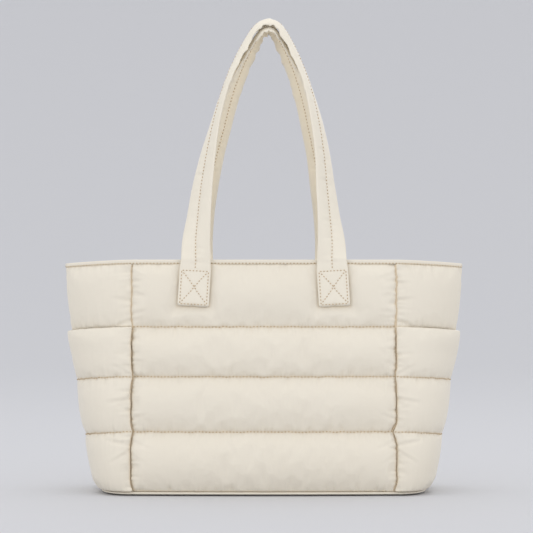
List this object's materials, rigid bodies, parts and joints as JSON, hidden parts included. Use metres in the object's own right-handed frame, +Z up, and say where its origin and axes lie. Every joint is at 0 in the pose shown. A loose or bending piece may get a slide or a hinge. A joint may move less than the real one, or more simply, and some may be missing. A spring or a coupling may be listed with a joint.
{
  "type": "puffer tote bag",
  "caption": "Soft padded tote bag with quilted rows, a slip pocket over each side, an open top with a narrow band, and two long shoulder straps.",
  "frame": {"origin": "on the floor, under the middle of the bag's overall box", "axes": "+Z up, -Y towards the front, +X to the right as seen from the front"},
  "size_m": [0.4502, 0.1594, 0.5337],
  "materials": {
    "padded_cloth": "matte woven nylon shell, cream, quilted over soft padding",
    "band_cloth": "the same cloth folded flat into a narrow band",
    "strap_cloth": "the same cloth folded to the middle over thin padding and stitched along it"
  },
  "bodies": {
    "root": {"base_panel": "padded_cloth", "front_panel": "padded_cloth", "back_panel": "padded_cloth", "gusset_left": "padded_cloth", "gusset_right": "padded_cloth", "side_pocket_left": "padded_cloth", "side_pocket_right": "padded_cloth", "rim_band": "band_cloth", "strap_front": "strap_cloth", "strap_back": "strap_cloth"}
  },
  "joints": []
}
